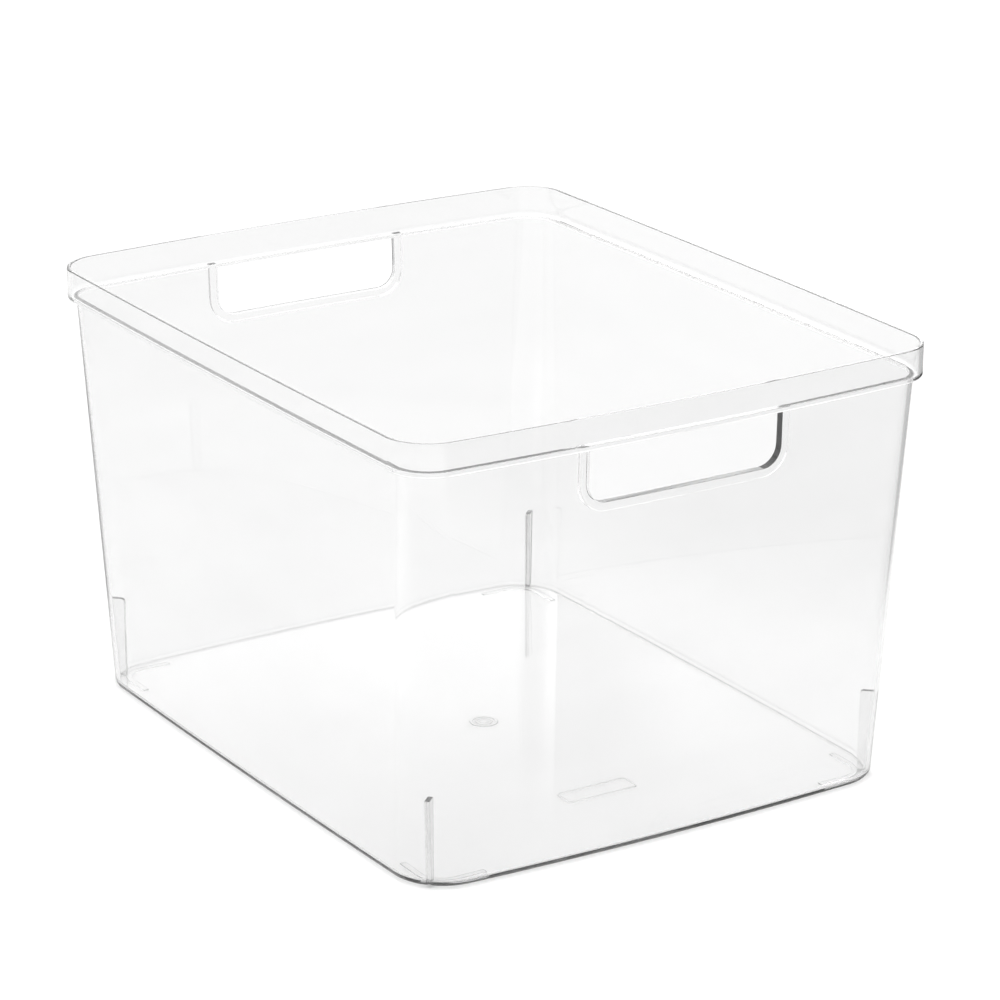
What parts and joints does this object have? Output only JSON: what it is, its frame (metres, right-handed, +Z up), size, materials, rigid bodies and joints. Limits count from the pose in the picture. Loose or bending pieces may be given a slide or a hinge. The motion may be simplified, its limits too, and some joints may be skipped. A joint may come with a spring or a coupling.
{
  "type": "storage bin",
  "caption": "Open-top clear plastic storage bin with tapered bowed walls, a stepped upright rim, framed hand-holds in its end walls, corner fins and low foot runners.",
  "frame": {"origin": "middle of the bin on the plane that its foot runners stand on", "axes": "+Z up; -Y out of the front wall, which has a hand-hold like the back wall's; +X to the right of someone facing the front wall"},
  "size_m": [0.2888, 0.3514, 0.2173],
  "materials": {
    "clear_plastic": "polished, transparent and colourless",
    "satin_mark": "transparent with a fine satin texture"
  },
  "bodies": {
    "root": {"floor_panel": "clear_plastic", "front_wall": "clear_plastic", "back_wall": "clear_plastic", "left_wall": "clear_plastic", "right_wall": "clear_plastic", "corner_front_left": "clear_plastic", "corner_front_right": "clear_plastic", "corner_back_left": "clear_plastic", "corner_back_right": "clear_plastic", "stacking_ledge": "clear_plastic", "rim_front": "clear_plastic", "rim_back": "clear_plastic", "rim_left": "clear_plastic", "rim_right": "clear_plastic", "rim_corner_front_left": "clear_plastic", "rim_corner_front_right": "clear_plastic", "rim_corner_back_left": "clear_plastic", "rim_corner_back_right": "clear_plastic", "handle_surround_front": "clear_plastic", "handle_surround_back": "clear_plastic", "fin_front_left": "clear_plastic", "fin_front_right": "clear_plastic", "fin_back_left": "clear_plastic", "fin_back_right": "clear_plastic", "foot_front_left": "clear_plastic", "foot_front_right": "clear_plastic", "foot_back_left": "clear_plastic", "foot_back_right": "clear_plastic", "gate_mark": "satin_mark", "label_panel": "satin_mark"}
  },
  "joints": []
}
